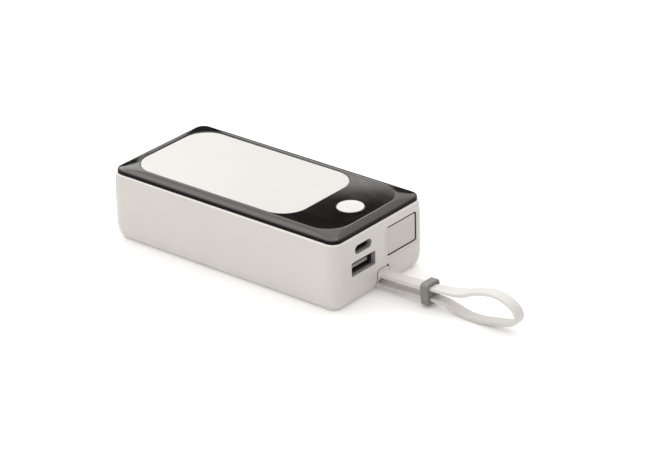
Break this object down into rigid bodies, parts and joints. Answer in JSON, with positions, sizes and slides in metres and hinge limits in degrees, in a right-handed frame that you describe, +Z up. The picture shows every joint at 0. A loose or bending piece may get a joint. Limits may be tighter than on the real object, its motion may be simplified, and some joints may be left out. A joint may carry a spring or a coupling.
{
  "type": "power bank",
  "caption": "Slab power bank with a glossy black top frame, flush work light, round push button, USB sockets, end display and a looped strap with slider.",
  "frame": {"origin": "centre of the underside of the white shell, on the surface it stands on", "axes": "+X towards the port end along the length, +Y away from the side nearest the sockets, +Z up through the work light"},
  "size_m": [0.173, 0.0542, 0.0303],
  "materials": {
    "white_shell": "fine satin moulded plastic",
    "black_gloss": "polished black",
    "opal_diffuser": "opal, smooth satin",
    "foam_tape": "adhesive foam",
    "white_inner": "matt moulded plastic",
    "aluminium_board": "white-masked aluminium board",
    "led_phosphor": "yellow phosphor gel",
    "steel": "zinc-plated steel",
    "white_button": "semi-gloss plastic",
    "black_inner": "matt black plastic",
    "socket_steel": "drawn stainless steel",
    "circuit_board": "green solder mask",
    "gold_contacts": "gold flash",
    "display_window": "tinted window over a white display",
    "ferrite": "pressed ferrite",
    "tantalum": "moulded epoxy",
    "ceramic": "sintered ceramic",
    "cell_wrap": "heat-shrink wrap",
    "nickel": "bright nickel",
    "foam": "closed-cell foam",
    "red_wire": "silicone insulation",
    "black_wire": "silicone insulation",
    "strap_rubber": "smooth silicone",
    "grey_slider": "fine texture"
  },
  "bodies": {
    "housing": {"lower_shell": "white_shell", "top_frame": "black_gloss", "light_diffuser": "opal_diffuser", "diffuser_tape": "foam_tape", "light_tray": "white_inner", "led_board": "aluminium_board", "light_leds": "led_phosphor", "tray_screws": "steel", "switch_body": "black_inner", "switch_cover": "steel", "main_board": "circuit_board", "board_screws": "steel", "usb_a_shell": "socket_steel", "usb_a_tongue": "black_inner", "usb_a_contacts": "gold_contacts", "usb_c_shell": "socket_steel", "usb_c_tongue": "black_inner", "usb_c_contacts": "gold_contacts", "display_window": "display_window", "display_module": "white_inner", "power_inductor": "ferrite", "charge_chip": "black_inner", "protection_chips": "black_inner", "bulk_capacitors": "tantalum", "chip_capacitors": "ceramic", "battery_cell_left": "cell_wrap", "battery_cell_right": "cell_wrap", "cell_insulators": "white_inner", "cell_saddles": "black_inner", "foam_strips": "foam", "nickel_strip_front": "nickel", "nickel_strip_rear": "nickel", "battery_lead_red": "red_wire", "battery_lead_black": "black_wire", "light_lead_red": "red_wire", "light_lead_black": "black_wire", "strap_anchor": "white_shell", "strap": "strap_rubber"},
    "button": {"button_cap": "white_button", "switch_plunger": "black_inner"},
    "slider": {"strap_slider": "grey_slider"}
  },
  "joints": [
    {"name": "button_press", "type": "slide", "parent": "housing", "child": "button", "axis": [0, 0, -1], "range_m": [0, 0.0003], "stiffness_N_per_m": 5000},
    {"name": "slider_slide", "type": "slide", "parent": "housing", "child": "slider", "axis": [0.9982, 0, 0.0599], "range_m": [-0.014, 0.002]}
  ]
}
